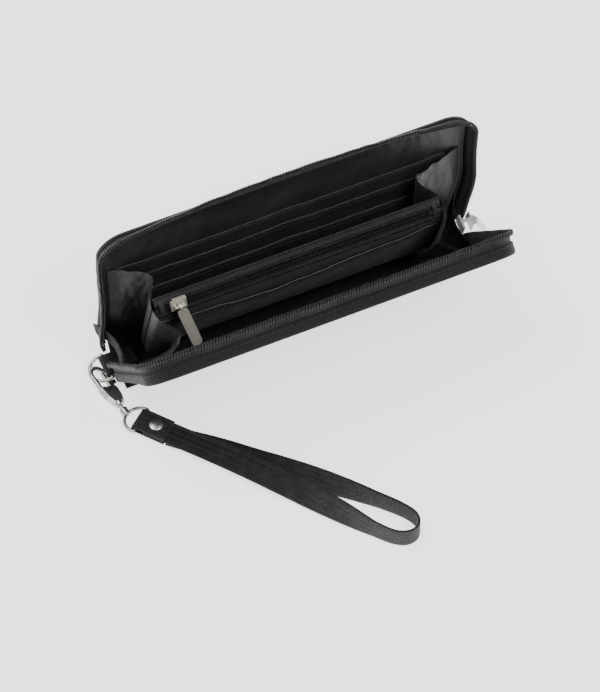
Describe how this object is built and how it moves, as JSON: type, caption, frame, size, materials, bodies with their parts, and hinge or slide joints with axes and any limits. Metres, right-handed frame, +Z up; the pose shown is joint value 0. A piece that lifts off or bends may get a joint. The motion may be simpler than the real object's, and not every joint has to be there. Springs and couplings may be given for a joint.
{
  "type": "zip-around wallet",
  "caption": "Fabric zip-around wallet standing open on its spine, with a zipped inner divider, card pockets, gusseted ends and a clip-on wrist strap.",
  "frame": {"origin": "middle of the flat underside of the spine, which the wallet stands on", "axes": "+X along the spine towards the end with the main slider, -Y the side the front cover opens towards, +Z up"},
  "size_m": [0.2256, 0.1767, 0.1057],
  "materials": {
    "outer_fabric": "matte",
    "lining_fabric": "satin",
    "stiff_board": "matte",
    "foam_board": "matte",
    "zip_tape": "matte",
    "zip_coil": "satin",
    "webbing": "matte",
    "satin_nickel": "satin",
    "bright_nickel": "polished",
    "brushed_nickel": "satin"
  },
  "bodies": {
    "back_cover": {"rear_outer_panel": "outer_fabric", "rear_stiffener": "stiff_board", "rear_lining": "lining_fabric", "card_panel_upper": "lining_fabric", "card_panel_middle": "lining_fabric", "card_panel_lower": "lining_fabric", "rear_zip_tape": "zip_tape", "rear_zip_coil": "zip_coil", "spine_panel": "outer_fabric", "tab_webbing": "webbing", "left_gusset_rear": "lining_fabric", "right_gusset_rear": "lining_fabric"},
    "front_cover": {"front_outer_panel": "outer_fabric", "front_stiffener": "foam_board", "front_lining": "lining_fabric", "front_zip_tape": "zip_tape", "front_zip_coil": "zip_coil", "front_spine_flap": "lining_fabric", "left_gusset_front": "lining_fabric", "right_gusset_front": "lining_fabric"},
    "divider": {"divider_rear_wall": "lining_fabric", "divider_front_wall": "lining_fabric", "divider_slip_pocket": "lining_fabric", "inner_zip_tape_rear": "zip_tape", "inner_zip_tape_front": "zip_tape", "inner_zip_coil_rear": "zip_coil", "inner_zip_coil_front": "zip_coil", "inner_zip_stops": "bright_nickel"},
    "inner_slider": {"inner_slider_body": "satin_nickel"},
    "inner_pull": {"inner_pull_tab": "satin_nickel"},
    "main_slider": {"main_slider_body": "bright_nickel"},
    "main_pull": {"main_pull_tab": "bright_nickel"},
    "tab_ring": {"tab_d_ring": "bright_nickel"},
    "clasp": {"clasp_body": "bright_nickel", "clasp_lever_pin": "bright_nickel"},
    "clasp_gate": {"clasp_lever": "bright_nickel"},
    "strap_ring": {"strap_swivel_ring": "bright_nickel"},
    "strap": {"wrist_strap": "webbing", "strap_end_wrap": "webbing", "rivet_cap": "brushed_nickel", "rivet_base": "brushed_nickel"}
  },
  "joints": [
    {"name": "cover_fold", "type": "hinge", "parent": "back_cover", "child": "front_cover", "pos_m": [0, 0, 0.0122], "axis": [1, 0, 0], "range_deg": [-43, 8], "deforming": ["left_gusset_rear", "right_gusset_rear", "left_gusset_front", "right_gusset_front"]},
    {"name": "divider_fold", "type": "hinge", "parent": "back_cover", "child": "divider", "pos_m": [0, 0, 0.0122], "axis": [1, 0, 0], "range_deg": [-21.5, 4]},
    {"name": "inner_zip_slide", "type": "slide", "parent": "divider", "child": "inner_slider", "axis": [1, 0, 0], "range_m": [-0.002, 0.124]},
    {"name": "inner_pull_swing", "type": "hinge", "parent": "inner_slider", "child": "inner_pull", "pos_m": [-0.066, -0.02129, 0.06601], "axis": [1, 0, 0], "range_deg": [-6.7, 35.6]},
    {"name": "main_zip_slide", "type": "slide", "parent": "divider", "child": "main_slider", "axis": [0, -0.284, 0.9588], "range_m": [0, 0.012]},
    {"name": "main_pull_swing", "type": "hinge", "parent": "main_slider", "child": "main_pull", "pos_m": [0.1054, -0.00298, 0.02227], "axis": [0, 0.9588, 0.284], "range_deg": [-83, 22]},
    {"name": "tab_ring_swing", "type": "hinge", "parent": "back_cover", "child": "tab_ring", "pos_m": [-0.0996, -0.0015, 0.008], "axis": [0, 1, 0], "range_deg": [-20, 50]},
    {"name": "clasp_swing", "type": "hinge", "parent": "tab_ring", "child": "clasp", "pos_m": [-0.10537, -0.00786, 0.00645], "axis": [0.8192, -0.5299, 0.2195], "range_deg": [-4, 8]},
    {"name": "gate_press", "type": "hinge", "parent": "clasp", "child": "clasp_gate", "pos_m": [-0.10086, -0.0135, 0.00304], "axis": [0.5847, -0.0127, 0.8112], "range_deg": [0, 13], "stiffness_Nm_per_rad": 0.02, "springref_deg": -17.19},
    {"name": "swivel_spin", "type": "hinge", "parent": "clasp", "child": "strap_ring", "pos_m": [-0.1048, -0.0058, 0.006], "axis": [0.172, -0.9752, -0.1392], "continuous": true},
    {"name": "strap_swing", "type": "hinge", "parent": "strap_ring", "child": "strap", "pos_m": [-0.0959, -0.0364, 0.0039], "axis": [0.7848, 0.6198, 0], "range_deg": [-45, 25]}
  ],
  "couplings": [
    {"joint": "divider_fold", "follows": "cover_fold", "ratio": 0.5},
    {"joint": "inner_pull_swing", "follows": "cover_fold", "ratio": -0.826}
  ]
}
